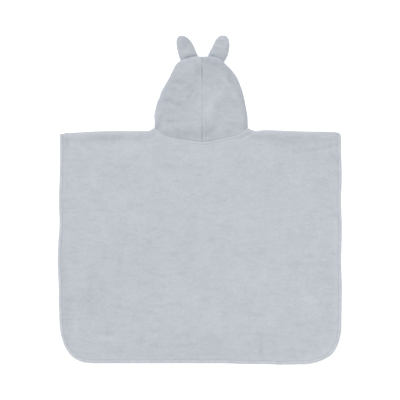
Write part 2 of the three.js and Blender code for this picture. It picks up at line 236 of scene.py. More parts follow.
# How strong and how wide that roll is along the shoulders
shoulder_fullness = table(
    "x full wide",
    (-332, 0.45, 1.1),
    (-285, 0.5, 1.15),
    (-255, 0.7, 1.2),
    (-215, 1.0, 1.35),
    (-185, 0.85, 1.2),
    (-160, 0.3, 1.0),
    (-100, 0.3, 1.0),
    (100, 0.45, 1.0),
    (150, 0.75, 1.2),
    (200, 0.85, 1.4),
    (245, 0.85, 1.5),
    (285, 0.6, 1.2),
    (310, 0.3, 1.0),
    (332, 0.4, 1.0),
    plain="full wide",
)
# The outlines of the ears, from their roots under the hood to their tips
left_ear = table(
    "y from to",
    (317, -41.9, -3.4),
    (327, -44.6, -2.8),
    (338.8, -48.6, -4.9),
    (348, -50.9, -9.3),
    (357.6, -53, -12.9),
    (367, -54.2, -17.6),
    (376.4, -53.9, -24.6),
    (381.5, -51.9, -29.9),
    (384.8, -48.1, -36.2),
    (385.8, -44.2, -40.2),
)
right_ear = table(
    "y from to",
    (317, 14.4, 51.8),
    (327, 16, 58.2),
    (338.8, 19.6, 64.2),
    (348, 23.6, 67.1),
    (357.6, 28.8, 68.5),
    (367, 33.5, 69),
    (376.4, 38.2, 67.7),
    (381.5, 42.5, 65),
    (385.2, 47.5, 61.1),
    (386.2, 51.2, 56.2),
)
neck_left, neck_right = neckline["x"][0], neckline["x"][-1]
print("body", round(2 * half_width, 3), "m wide")
print("hem to shoulder", round(hem_depth + shoulder_y, 3), "m")

# %% [markdown]
# Camera, floor and light. The photograph looks straight down on the flat garment from far off,
# so a long lens high above the floor keeps its edges true. The light is soft and almost even,
# as in a packshot: a white sky gives most of it, and one large lamp, a little to the upper
# left, is just strong enough to let seams and swells show.

# %% Camera and stage
photo_span = 941.4 * mm
camera_height = 3.2
sensor = 36.0

camera_data = bpy.data.cameras.new("camera")
camera_data.sensor_width = sensor
camera_data.lens = sensor * camera_height / photo_span
camera = bpy.data.objects.new("camera", camera_data)
camera.location = (0.5 * mm, 0.0, camera_height)
bpy.context.scene.collection.objects.link(camera)
bpy.context.scene.camera = camera

lamp_data = bpy.data.lights.new("soft_lamp", "SUN")
lamp_data.angle = math.radians(36)
lamp_data.energy = 1.45
lamp = bpy.data.objects.new("soft_lamp", lamp_data)
lamp.location = (-0.7, 1.3, 2.0)
lamp.rotation_euler = (-lamp.location).to_track_quat("-Z", "Y").to_euler()
bpy.context.scene.collection.objects.link(lamp)

sky = bpy.data.worlds.new("white_sky")
sky.use_nodes = True
sky.node_tree.nodes["Background"].inputs["Color"].default_value = (1.0, 1.0, 1.0, 1.0)
sky.node_tree.nodes["Background"].inputs["Strength"].default_value = 0.64
bpy.context.scene.world = sky
bpy.context.scene.view_settings.view_transform = "Standard"


# %% [markdown]
# Materials. Colours are written as they look on a screen and turned to linear light by one
# function. Terry is woven cotton whose loops stand up from both faces. Loops are about 2 mm
# apart and lie in rows across the cloth, and towels that have been washed and folded show soft
# clumps and faint patches besides. A photograph of cloth could be laid over the panels, but a
# pattern worked out from the loop spacing stays sharp at any size and has no edges.


# %% Colour and node helpers
def linear(hex_colour):
    """An sRGB hex colour as linear light."""
    channels = [int(hex_colour[i : i + 2], 16) / 255 for i in (1, 3, 5)]
    return [c / 12.92 if c <= 0.04045 else ((c + 0.055) / 1.055) ** 2.4 for c in channels] + [1.0]


def add(nodes, kind, settings=None, **inputs):
    """Adds a node with its settings and inputs. An input is given by its name or as _number."""
    node = nodes.new(kind)
    for name, value in (settings or {}).items():
        setattr(node, name, value)
    for name, value in inputs.items():
        number = name[1:]
        socket = node.inputs[int(number) if number.isdigit() else name.replace("_", " ")]
        if isinstance(value, bpy.types.NodeSocket):
            nodes.id_data.links.new(value, socket)
        else:
            socket.default_value = value
    return node


def new_material(name, roughness, sheen):
    """An empty cloth material: its nodes and its shader."""
    material = bpy.data.materials.new(name)
    material.use_nodes = True
    shader = material.node_tree.nodes["Principled BSDF"]
    shader.inputs["Roughness"].default_value = roughness
    shader.inputs["Specular IOR Level"].default_value = 0.15
    shader.inputs["Sheen Weight"].default_value = sheen
    shader.inputs["Sheen Roughness"].default_value = 0.6
    return material, material.node_tree.nodes, shader


# %% Terry cloth
# Terry towelling, woven with slack loops on both faces and washed. It scatters light evenly, so
# it has no gloss, only a little sheen at its rims; the gaps between its loops are painted darker as
# their shade.
loop_spacing = 1.9 * mm
curl = 1.1 * mm
fuzz_size = 0.7 * mm
rib_length, rib_width = 15 * mm, 2.6 * mm
streak_length, streak_width = 34 * mm, 12 * mm
clump_size = 8 * mm
mottle_size = 20 * mm
patch_size = 70 * mm
loop_height = 0.8 * mm
darkest_tone, palest_tone = -0.36, 2.64


def stretched_noise(nodes, place, length, width, detail):
    """Noise whose marks are long across the cloth and narrow along it."""
    across = add(nodes, "ShaderNodeMapping", {}, Vector=place, Scale=(1.0, length / width, 1.0))
    return add(
        nodes, "ShaderNodeTexNoise", {}, Vector=across.outputs[0], Scale=1 / length, Detail=detail
    ).outputs["Fac"]


def weighted(nodes, *terms):
    """The sum of some values, each with its weight."""
    total = 0.0
    for value, weight in terms:
        total = add(
            nodes, "ShaderNodeMath", {"operation": "MULTIPLY_ADD"}, _0=value, _1=weight, _2=total
        ).outputs[0]
    return total


def terry_cloth(name, deep, pale, cloudy):
    """Looped cotton terry: matt, with curled loops, soft clumps and streaks, and painted shade and
    light read from the pile attribute.
    """
    material, nodes, shader = new_material(name, roughness=0.95, sheen=0.12)
    place = add(nodes, "ShaderNodeTexCoord").outputs["Object"]
    fuzz = add(nodes, "ShaderNodeTexNoise", {}, Vector=place, Scale=1 / fuzz_size, Detail=2.0)
    curled = add(
        nodes, "ShaderNodeVectorMath", {"operation": "MULTIPLY_ADD"},
        _0=fuzz.outputs["Color"], _1=(curl, curl, curl), _2=place,
    ).outputs[0]
    rows = add(nodes, "ShaderNodeMapping", {}, Vector=curled, Scale=(1.0, 1.3, 1.0)).outputs[0]
    loops = add(
        nodes, "ShaderNodeTexVoronoi", {}, Vector=rows, Scale=1 / loop_spacing, Randomness=0.85
    ).outputs["Distance"]
    ribs = stretched_noise(nodes, place, rib_length, rib_width, 2.0)
    streaks = stretched_noise(nodes, place, streak_length, streak_width, 1.0)
    gaps = add(nodes, "ShaderNodeMapRange", {}, Value=streaks, _1=0.5, _2=0.8).outputs[0]
    clumps, mottle, patches = (
        add(
            nodes, "ShaderNodeTexNoise", {}, Vector=place, Scale=1 / size, Detail=detail
        ).outputs["Fac"]
        for size, detail in ((clump_size, 3.0), (mottle_size, 3.0), (patch_size, 2.0))
    )
    # The pile attribute is tone painted per point: shade in creases, dents, seams and the tucks
    # under the hood, light on swells and along seams, and some flat darker or paler patches.
    pile_tone_and_painted_shade = add(nodes, "ShaderNodeAttribute", {"attribute_name": "pile"}).outputs["Fac"]
    pile = weighted(
        nodes, (loops, -1.0), (fuzz.outputs["Fac"], 0.4), (ribs, 0.7), (clumps, 0.8), (gaps, -0.15)
    )
    # The tone follows the loop height, so the gaps between the loops are painted darker as their
    # shade.
    tone = weighted(
        nodes, (pile, 1.0), (mottle, 0.35 * cloudy), (patches, 0.65 * cloudy), (gaps, -0.2),
        (pile_tone_and_painted_shade, 1.0),
    )
    # Fainter clouds take this much from the mean tone, so the range moves down with it
    offset = 0.5 * (cloudy - 1)
    shade = add(
        nodes, "ShaderNodeMapRange", {},
        Value=tone, _1=darkest_tone + offset, _2=palest_tone + offset,
    ).outputs[0]
    colour = add(
        nodes, "ShaderNodeMix", {"data_type": "RGBA"}, _0=shade, _6=linear(deep), _7=linear(pale)
    ).outputs[2]
    bump = add(
        nodes, "ShaderNodeBump", {}, Strength=0.45, Distance=loop_height, Height=pile
    ).outputs[0]
    nodes.id_data.links.new(colour, shader.inputs["Base Color"])
    nodes.id_data.links.new(bump, shader.inputs["Normal"])
    return material


body_terry = terry_cloth("body_terry_looped_cotton", deep="#afb4bc", pale="#dadfe4", cloudy=1.0)
# The hood has the same terry, coloured a little darker and with fainter clouds.
hood_terry = terry_cloth("hood_terry_looped_cotton", deep="#a7acb5", pale="#d6dbe1", cloudy=0.5)
print("terry: loops every", loop_spacing, "m")


# %% Binding tape and thread
# Cotton jersey, knitted fine and pressed flat, so it looks smoother and more even than terry.
# Its stitches are really under 1 mm apart, and are drawn coarser so that they show.
knit_spacing = 1.4 * mm
wear_size = 11 * mm
twist_size = 0.6 * mm


def tape_cloth(name, deep, pale):
    """Cotton jersey tape: finer than the terry, with a knit and faint wear."""
    material, nodes, shader = new_material(name, roughness=0.9, sheen=0.08)
    place = add(nodes, "ShaderNodeTexCoord").outputs["Object"]
    knit = add(
        nodes, "ShaderNodeTexVoronoi", {}, Vector=place, Scale=1 / knit_spacing, Randomness=0.5
    ).outputs["Distance"]
    wear = add(nodes, "ShaderNodeTexNoise", {}, Vector=place, Scale=1 / wear_size).outputs["Fac"]
    tone = add(
        nodes, "ShaderNodeMath", {"operation": "MULTIPLY_ADD"}, _0=knit, _1=-0.5, _2=wear
    ).outputs[0]
    shade = add(nodes, "ShaderNodeMapRange", {}, Value=tone, _1=0.0, _2=0.7).outputs[0]
    colour = add(
        nodes, "ShaderNodeMix", {"data_type": "RGBA"}, _0=shade, _6=linear(deep), _7=linear(pale)
    ).outputs[2]
    bump = add(
        nodes, "ShaderNodeBump", {"invert": True}, Strength=0.35, Distance=0.3 * mm, Height=knit
    ).outputs[0]
    nodes.id_data.links.new(colour, shader.inputs["Base Color"])
    nodes.id_data.links.new(bump, shader.inputs["Normal"])
    return material


def sewing_thread(name, colour):
    """Spun polyester thread: twisted, and smoother than the cloth, so it catches more light."""
    material, nodes, shader = new_material(name, roughness=0.6, sheen=0.0)
    place = add(nodes, "ShaderNodeTexCoord").outputs["Object"]
    twist = add(nodes, "ShaderNodeTexNoise", {}, Vector=place, Scale=1 / twist_size).outputs["Fac"]
    bump = add(
        nodes, "ShaderNodeBump", {}, Strength=0.3, Distance=0.1 * mm, Height=twist
    ).outputs[0]
    shader.inputs["Base Color"].default_value = linear(colour)
    nodes.id_data.links.new(bump, shader.inputs["Normal"])
    return material


tape_jersey = tape_cloth("binding_tape_cotton_jersey", deep="#bfc4cb", pale="#d3d8dd")
thread = sewing_thread("sewing_thread_polyester", "#ccd1d7")


# %% [markdown]
# Floor. It is a plain matt white sheet, large enough to fill the view from low angles too.

# %% Floor
def white_floor():
    """Matt white board, lifted by a little glow so that it comes out as the white of a cut-out."""
    material = bpy.data.materials.new("floor_matt_white")
    material.use_nodes = True
    shader = material.node_tree.nodes["Principled BSDF"]
    shader.inputs["Base Color"].default_value = linear("#b8b8b8")
    shader.inputs["Roughness"].default_value = 1.0
    shader.inputs["Specular IOR Level"].default_value = 0.0
    shader.inputs["Emission Color"].default_value = (1.0, 1.0, 1.0, 1.0)
    shader.inputs["Emission Strength"].default_value = 0.7
    bm = bmesh.new()
    bmesh.ops.create_grid(bm, x_segments=1, y_segments=1, size=12.0)
    mesh = bpy.data.meshes.new("floor")
    bm.to_mesh(mesh)
    bm.free()
    floor = bpy.data.objects.new("floor", mesh)
    floor.location.z = -0.2 * mm
    floor.data.materials.append(material)
    bpy.context.scene.collection.objects.link(floor)


white_floor()


# %% [markdown]
# Shaping a sheet. Every piece of cloth starts as a bmesh grid whose points are then laid where
# the cloth lies, and Solidify gives it its thickness to both sides. Modelling each wall by hand
# from faces would take longer and tear at the first change.


# %% Sheet helpers
def finish_piece(name, bm, material, nodes, thickness=None, thin_group=None, thin=1.0):
    """Turns a bmesh into a piece that replaces its solids and rides on the body."""
    mesh = bpy.data.meshes.new(name)
    bm.to_mesh(mesh)
    bm.free()
    for face in mesh.polygons:
        face.use_smooth = True
    piece = bpy.data.objects.new(name, mesh)
    bpy.context.scene.collection.objects.link(piece)
    piece.data.materials.append(material)
    if thickness:
        wall = piece.modifiers.new("cloth", "SOLIDIFY")
        wall.thickness = thickness
        wall.offset = 0.0
        wall.use_even_offset = False
        if thin_group:
            group = piece.vertex_groups.new(name="full_pile")
            for index, weight in thin_group.items():
                group.add([index], weight, "REPLACE")
            wall.vertex_group = group.name
            wall.thickness_vertex_group = thin
    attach(piece, "root")
    if nodes:
        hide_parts(*nodes)
    return piece


def laid_grid(columns, rows, place):
    """A grid of columns by rows points, each laid by place(column, row)."""
    bm = bmesh.new()
    bmesh.ops.create_grid(bm, x_segments=columns - 1, y_segments=rows - 1, size=1.0)
    for v in bm.verts:
        column = round((v.co.x + 1) / 2 * (columns - 1))
        row = round((1 - v.co.y) / 2 * (rows - 1))
        v.co = place(column, row)
    return bm


def spaced(*stretches):
    """Places along a line: each stretch is (length, number of steps)."""
    places = [0.0]
    for length, steps in stretches:
        start = places[-1]
        places += [start + length * (i + 1) / steps for i in range(steps)]
    return places


def mound(x, y, bumps, what="height"):
    """Sum at x, y of soft ridges (or troughs, where the height or pile is below 0)."""
    total = 0.0
    for i, peak in enumerate(bumps[what]):
        dx, dy = x - bumps["x"][i], y - bumps["y"][i]
        if abs(dx) + abs(dy) > 4 * max(bumps["long"][i], bumps["wide"][i]):
            continue
        turn = math.radians(bumps["turn"][i])
        along = (dx * math.cos(turn) + dy * math.sin(turn)) / bumps["long"][i]
        across = (dy * math.cos(turn) - dx * math.sin(turn)) / bumps["wide"][i]
        reach = along * along + across * across
        if reach < 9:
            total += peak * math.exp(-reach)
    return total


def bell(distance, width):
    """1 at no distance, falling softly to nothing a little beyond the width."""
    return math.exp(-((distance / width) ** 2))


def store_painted_shade(bm, painted_light_and_shade):
    """Stores the painted tone at each point: above 0 it is painted paler, as light, and below 0
    darker, as shade.
    """
    layer = bm.verts.layers.float.new("pile")
    for v in bm.verts:
        v[layer] = painted_light_and_shade(v.co.x, v.co.y)


def lumps(x, y, size, seed):
    """Even, gentle unevenness of about that size, from -1 to 1."""
    return noise.noise(Vector((x / size, y / size, seed)))


# %% [markdown]
# Body panels. A flat panel of towelling is never quite flat: it keeps wide, low swells from
# being folded, it rolls over the seam allowances along the shoulder, and near the right
# shoulder it has its clearest crease. They are listed as soft ridges and troughs, each with a
# painted tone: shade along the troughs, light along the ridges, and some flat darker or paler
# patches. A simulation would drop the cloth flat, with no folds in it.

# %% Creases of the back panel
# The pile column is tone painted into the colour: below 0 it darkens, above 0 it lightens.
creases = table(
    "x y long wide turn height pile",
    (252, 128, 74, 11, -19, 1.6, 0.0),
    (262, 112, 80, 44, 0, 0.0, -0.12),
    (211, 139, 60, 11, -3, -0.3, -0.35),
    (-212, 145, 30, 8, 0, -0.3, -0.35),
    (-230, -230, 110, 90, 60, 0.0, -0.14),
    (-20, -345, 180, 30, 0, 0.0, -0.22),
    (110, -367, 130, 9, 0, 0.0, -0.28),
    (-190, -362, 60, 10, 0, 0.0, -0.14),
    (-100, -180, 110, 80, 0, 0.0, -0.08),
    (116, 150.5, 15, 2.6, 33, 0.7, 0.45),
    (111, 154, 13, 2.6, 33, -0.7, -0.6),
    (292, 148, 26, 8, 4, 1.4, 0.2),
    (302, 125, 32, 5, 13, -1.3, -0.45),
    (315, 100, 16, 4.5, -54, -1.3, -0.55),
    (-313, 130, 18, 8, 88, -0.5, -0.3),
    (-311, 31, 14, 4, 90, -0.4, -0.3),
    (-308, -65, 14, 12, 0, -0.6, -0.28),
    (-308, -262, 40, 9, 90, -0.7, -0.22),
    (-289, -145, 42, 7, 88, -0.8, -0.25),
    (-254, -216, 50, 8, 86, -0.7, -0.2),
    (-186, -150, 26, 8, 84, -0.9, -0.3),
    (-135, -325, 22, 8, 76, -1.0, -0.35),
    (-160, -312, 9, 6, 0, -0.3, -0.25),
    (-218, -312, 26, 4, 2, -0.6, -0.32),
    (-214, -327, 24, 7, 0, 0.8, 0.5),
    (-289, -300, 30, 7, 90, 0.5, 0.22),
    (-157, -232, 20, 14, 0, 0.5, 0.2),
    (-47, -214, 44, 30, -60, 0.9, 0.18),
    (-233, -24, 17, 5, 5, -0.5, -0.3),
    (-172, -26, 15, 4, 8, -0.4, -0.3),
    (-223, 59, 14, 4, -5, -0.4, -0.3),
    (-176, 27, 15, 7, -8, -0.5, -0.25),
    (-66, 78, 18, 4, -12, -0.5, -0.3),
    (-99, 115, 15, 12, 0, -0.5, -0.2),
    (-16, -39, 14, 7, 0, -0.5, -0.3),
    (61, -63, 13, 13, 0, -0.5, -0.28),
    (28, -97, 10, 6, -40, -0.4, -0.32),
    (146, -124, 13, 7, 60, -0.6, -0.32),
    (203, -112, 9, 4, 20, -0.4, -0.35),
    (228, -155, 12, 8, -20, -0.5, -0.3),
    (152, -185, 18, 6, 60, 0.4, 0.16),
    (228, -75, 15, 5, -42, 0.5, 0.25),
    (251, -225, 26, 9, -50, 0.7, 0.28),
    (94, -282, 17, 12, 10, 0.5, 0.22),
    (35, -328, 22, 9, -8, -0.6, -0.3),
    (146, -357, 26, 6, 92, -1.2, -0.5),
    (60, -374, 150, 4, 0, 0.0, -0.3),
    (286, 20, 22, 16, 60, -0.4, -0.08),
    (305, -246, 15, 8, 70, -0.5, -0.28),
    plain="turn pile",
)
loft = 1.2 * mm


def top_edge(x, layer):
    """The y of a panel's top at x: its shoulders with the neckline between them."""
    if x < neck_left:
        return read(left_shoulder, "x", "y", x)
    if x > neck_right:
        return read(right_shoulder, "x", "y", x)
    return read(neckline, "x", layer, x)


def side_edge(sign, y):
    return sign * (half_width + read(sides, "y", "left" if sign < 0 else "right", y))


def hem_edge(x):
    return -hem_depth - read(hem, "x", "sag", x)


def inside_edge(x, y):
    """How far a point lies inside the sides and the hem."""
    side = "left" if x < 0 else "right"
    beyond_x = abs(x) - (half_width - corner_radius)
    beyond_y = -y - (hem_depth - corner_radius)
    if beyond_x > 0 and beyond_y > 0:
        turn = math.atan2(beyond_y, beyond_x)
        beyond = math.hypot(beyond_x, beyond_y) - read(corners, "turn", side, math.degrees(turn))
    else:
        turn = 0.0 if beyond_x > beyond_y else 0.5 * math.pi
        beyond = max(beyond_x, beyond_y)
    give = read(sides, "y", side, y) * math.cos(turn) ** 2
    give += read(hem, "x", "sag", x) * math.sin(turn) ** 2
    return corner_radius + give - beyond


def seam_shows(x):
    """How much the ironed neck seam stands out in relief and in painted highlight: it is clearer
    towards the right shoulder.
    """
    return mix(0.5, 1.0, ramp(x, -60 * mm, 30 * mm))


def neck_height(share):
    """Middle height of the neck seam, at a share of the way from the nape to the shoulder."""
    return 0.5 * terry + hood_heights["roll"][0] + hood_heights["crown"][0] * (1 - share * share)


def panel_height(layer, x, y, inward, down):
    """Middle height of a panel, where inward is the distance from its side or hem."""
    if layer == "front":
        return mix(front_edge_middle, front_middle, ramp(inward, tape_width, edge_zone + 3 * mm))
    calm = ramp(inward, tape_width, edge_drape) * ramp(down, 6 * mm, 24 * mm)
    over_neck = neck_left < x < neck_right
    end = neck_left if x < seam_x else neck_right
    share = (x - seam_x) / (end - seam_x)
    fade = 1 - ramp(down, 10 * mm, 60 * mm)
    seam = (neck_height(min(share, 1.0)) - back_middle) * fade
    full, wide = (read(shoulder_fullness, "x", column, x) for column in ("full", "wide"))
    roll = full * read(shoulder_roll, "inward", "rise", down / wide)
    near_neck = 1 - ramp(share - 1, 0, 0.12)
    top = seam if over_neck else mix(roll, max(seam, roll), near_neck)
    drape = ramp(inward, tape_width, edge_drape)
    soft = 0.25 * mm * lumps(x, y, 17 * mm, 1.0) + 1.0 * mm * lumps(x, y, 62 * mm, 2.0)
    rest = back_middle + top + loft * ramp(down, 20 * mm, 60 * mm)
    rest = max(rest + (mound(x, y, creases) + soft) * calm, back_middle)
    groove = 0.0
    if over_neck:
        groove += 0.6 * mm * bell(down - 1.5 * mm, 2.0 * mm)
        groove += 0.4 * mm * bell(down - 4.4 * mm, 1.4 * mm)
        groove -= 0.4 * mm * bell(down - neck_stitch, 1.1 * mm)
        groove *= seam_shows(x)
    return mix(back_edge_middle, rest, drape) + groove


def panel_painted_shade(x, y):
    """Painted tone of the back panel: shade in its creases and below its shoulder roll, light on
    its ridges and along its neck seam, and bands inside its bound sides.
    """
    down = top_edge(min(max(x, -half_width), half_width), "back") - y
    inward = inside_edge(x, y)
    painted_light_and_shade = mound(x, y, creases, "pile")
    # A band inside the bound side is painted paler on the right and darker on the left, as light
    # from the left falls on the cloth sloping up from the binding.
    if x > 0:
        painted_light_and_shade += 0.22 * bell(inward - 12 * mm, 6 * mm) * ramp(y, 60 * mm, -60 * mm)
    else:
        painted_light_and_shade -= 0.1 * bell(inward - 12 * mm, 7 * mm) * ramp(y, 0, -150 * mm)
    # Painted highlight along the neck seam, at its stitches and at its edge.
    if neck_left < x < neck_right:
        neck_seam_highlight = 0.3 * bell(down - neck_stitch, 1.6 * mm) + 0.2 * bell(down - 1 * mm, 2 * mm)
        return painted_light_and_shade + neck_seam_highlight * seam_shows(x)
    # Painted shade in a band below the roll of the shoulder.
    return painted_light_and_shade - 0.2 * bell(down - 15 * mm, 6 * mm)


neck_stitch = 7 * mm
meeting = seam_gap - 0.05 * mm
chain_rows = spaced(
    (10 * mm, 10), (20 * mm, 11), (422 * mm, 126), (0.5 * math.pi * corner_radius, 34)
)
straight = 452 * mm
reach = half_width - edge_zone
edge_rings = (8.6 * mm, 7.6 * mm, 6.9 * mm, 6.0 * mm, 1.6 * mm)


def column_shares(count):
    """Columns from -1 to 1, closer together near the sides of the panel."""
    even = [2 * i / (count - 1) - 1 for i in range(count)]
    return [u + 0.07 * math.sin(math.pi * u) for u in even]


def row_level(top, along):
    """The y of a row of the grid at the sides, were they straight and the corners round."""
    corner_top = corner_radius - hem_depth
    if along < straight:
        return mix(top, corner_top, along / straight)
    turn = (along - straight) / corner_radius
    return corner_top - (corner_radius - edge_zone) * math.sin(turn)


def edge_station(layer, sign, along):
    """A place on the outer edge at a distance along it from the shoulder, and the way out."""
    top = top_edge(side_edge(sign, sides_end), layer)
    corner_top = corner_radius - hem_depth
    if along < straight:
        y = mix(top, corner_top, along / straight)
        return Vector((side_edge(sign, y), y)), Vector((sign, 0.0))
    turn = (along - straight) / corner_radius
    out = Vector((sign * math.cos(turn), -math.sin(turn)))
    centre = Vector((sign * (half_width - corner_radius), corner_top))
    bulge = read(corners, "turn", "left" if sign < 0 else "right", math.degrees(turn))
    at = centre + out * (corner_radius + bulge)
    at.x += (side_edge(sign, at.y) - sign * half_width) * math.cos(turn)
    at.y += (hem_edge(at.x) + hem_depth) * math.sin(turn)
    return at, out


def rounded_top(at):
    """A point of the edge, moved down where the upper right corner of the body is rounded."""
    inward = max(side_edge(1, at.y) - at.x, 0)
    if at.x < 0 or inward > edge_zone:
        return at
    drop = edge_zone - math.sqrt(edge_zone**2 - (edge_zone - inward) ** 2)
    below = top_edge(side_edge(1, sides_end), "back") - at.y
    return Vector((at.x, at.y - drop * ramp(below, 18 * mm, 0)))


def spot(at):
    """The place of a point seen from above, rounded so that it can be looked up."""
    return round(at[0], 6), round(at[1], 6)


def body_panel(layer, columns, rows):
    """A body panel: its grid, then its edge drawn out ring by ring into the binding."""
    shares = column_shares(columns)
    last = len(rows) - 1
    ends = [
        [at - out * edge_zone for at, out in (edge_station(layer, sign, s) for sign in (-1, 1))]
        for s in rows
    ]
    tops = [at.y for at in ends[0]]

    def place(column, row):
        s = shares[column]
        left, right = ends[row]
        shares_down = [
            (top - row_level(top, rows[row])) / (top + hem_depth - edge_zone) for top in tops
        ]
        share = mix(*shares_down, 0.5 + 0.5 * s)
        width = -left.x if s < 0 else right.x
        drift = (width - reach) * math.copysign(abs(s) ** 8, s)
        x = s * reach + drift if rows[row] < straight else s * width
        top = top_edge(s * reach, layer)
        if layer == "back" and neck_left < s * reach < neck_right:
            top += meeting
        y = mix(top, hem_edge(x) + edge_zone, share)
        at_edge = column in (0, columns - 1)
        if at_edge:
            x, y = left if column == 0 else right
        inward = edge_zone if at_edge or row == last else inside_edge(x, y)
        down = rows[row] if rows[row] < straight and at_edge else top - y
        return Vector((x, y, panel_height(layer, x, y, inward, down)))

    bm = laid_grid(columns, len(rows), place)
    edge_points = {}
    for row, along in enumerate(rows):
        for sign, end in zip((-1, 1), ends[row]):
            edge_points[spot(end)] = (*edge_station(layer, sign, along), along)
    for column in range(1, columns - 1):
        at = place(column, last)
        edge_points[spot(at)] = (Vector((at.x, hem_edge(at.x))), Vector((0.0, -1.0)), 1.0)

    rim = [v for v in bm.verts if v.is_boundary and spot(v.co) in edge_points]
    station_of = {v: edge_points[spot(v.co)] for v in rim}
    thin = {}
    edges = [e for e in bm.edges if e.is_boundary and all(v in station_of for v in e.verts)]
    for inward in edge_rings:
        grown = bmesh.ops.extrude_edge_only(bm, edges=edges)["geom"]
        nearest = {spot(v.co): s for v, s in station_of.items()}
        new_verts = [g for g in grown if isinstance(g, bmesh.types.BMVert)]
        station_of = {v: nearest[spot(v.co)] for v in new_verts}
        for v, (at, out, along) in station_of.items():
            place_xy = rounded_top(at - out * inward)
            v.co = (*place_xy, panel_height(layer, *place_xy, inward, along))
            thin[v] = ramp(inward, tape_width - 0.5 * mm, tape_width + 0.9 * mm)
        new_edges = [g for g in grown if isinstance(g, bmesh.types.BMEdge)]
        edges = [e for e in new_edges if all(v in station_of for v in e.verts)]
    bm.verts.index_update()
    weights = {v.index: 1.0 for v in bm.verts}
    weights.update({v.index: w for v, w in thin.items()})
    bmesh.ops.recalc_face_normals(bm, faces=bm.faces)
    if layer == "back":
        store_painted_shade(bm, panel_painted_shade)
    return bm, weights


bm, weights = body_panel("back", 240, chain_rows)
body_back = finish_piece(
    "back_panel", bm, body_terry, ["body_back"],
    thickness=terry, thin_group=weights, thin=pressed_terry / terry,
)
front_rows = spaced((12 * mm, 4), (440 * mm, 60), (0.5 * math.pi * corner_radius, 16))
bm, weights = body_panel("front", 80, front_rows)
body_front = finish_piece(
    "front_panel", bm, body_terry, ["body_front"],
    thickness=terry, thin_group=weights, thin=pressed_terry / terry,
)
print("back panel:", len(body_back.data.polygons), "faces on each side")


# %% [markdown]
# Binding. A strip of jersey is folded over the cut edge and sewn through both its lips. It is
# one open sheet, laid in a hairpin section along the edge, that Solidify thickens. The stitches
# press it down near its lip, and between them it puckers a little.

# %% Binding tape
# Half of the folded tape seen end on, from its lip to its fold
tape_section = table(
    "inward z",
    (7.0, 1.2), (6.5, 1.34), (5.7, 1.12), (4.8, 1.38), (3.6, 1.46), (2.4, 1.42), (1.5, 1.2),
    (0.85, 0.75), (0.5, 0.0),
)
section = list(zip(tape_section["inward"], tape_section["z"]))
lip = {column: values[::-1] for column, values in tape_section.items()}
section += [(inward, -z) for inward, z in reversed(section[:-1])]
tape_step = 4 * mm


def tape_stations(layer):
    """Places all along a panel's bound edge, from one shoulder round the hem to the other."""
    length = straight + 0.5 * math.pi * corner_radius
    count = round(length / tape_step)
    left = [edge_station(layer, -1, length * i / count) for i in range(count + 1)]
    right = [edge_station(layer, 1, length * i / count) for i in range(count + 1)]
    flat = half_width - corner_radius
    steps = round(2 * flat / tape_step)
    along = [flat * (2 * i / steps - 1) for i in range(1, steps)]
    hem_line = [(Vector((x, hem_edge(x))), Vector((0.0, -1.0))) for x in along]
    return left + hem_line + right[::-1]


def binding(layer, middle):
    """The tape of one panel: its section carried along the edge, with small puckers."""
    stations = tape_stations(layer)

    def place(column, row):
        at, out = stations[row]
        inward, z = section[column]
        run = row * tape_step
        pucker = 0.16 * mm * lumps(run, inward * 3, 6 * mm, 5.0 + middle / mm)
        wander = 0.3 * mm * lumps(run, 0, 24 * mm, 9.0)
        place_xy = rounded_top(at - out * (inward - wander * ramp(inward, 7 * mm, 0)))
        return Vector((*place_xy, middle + z + math.copysign(pucker, z) * ramp(abs(z), 0, 1 * mm)))

    bm = laid_grid(len(section), len(stations), place)
    bmesh.ops.recalc_face_normals(bm, faces=bm.faces)
    return bm


binding_back = finish_piece(
    "back_binding", binding("back", back_edge_middle), tape_jersey,
    ["edge_binding_back"], thickness=tape_wall,
)
binding_front = finish_piece(
    "front_binding", binding("front", front_edge_middle), tape_jersey,
    ["edge_binding_front"], thickness=tape_wall,
)


# %% [markdown]
# Hood. It is cut in two halves, joined by a seam that runs from the nape over the top. Laid
# flat, each half shows its back, rolls round the outline and lies on the surface underneath, as
# far as the opening for the face. A half is one grid whose rows run from the seam, round the
# fold and back, so the cloth is one sheet and its fold is a real roll.

# %% Hood halves
hood_levels = 96
back_steps = 60
fold_steps = 14
front_steps = 26
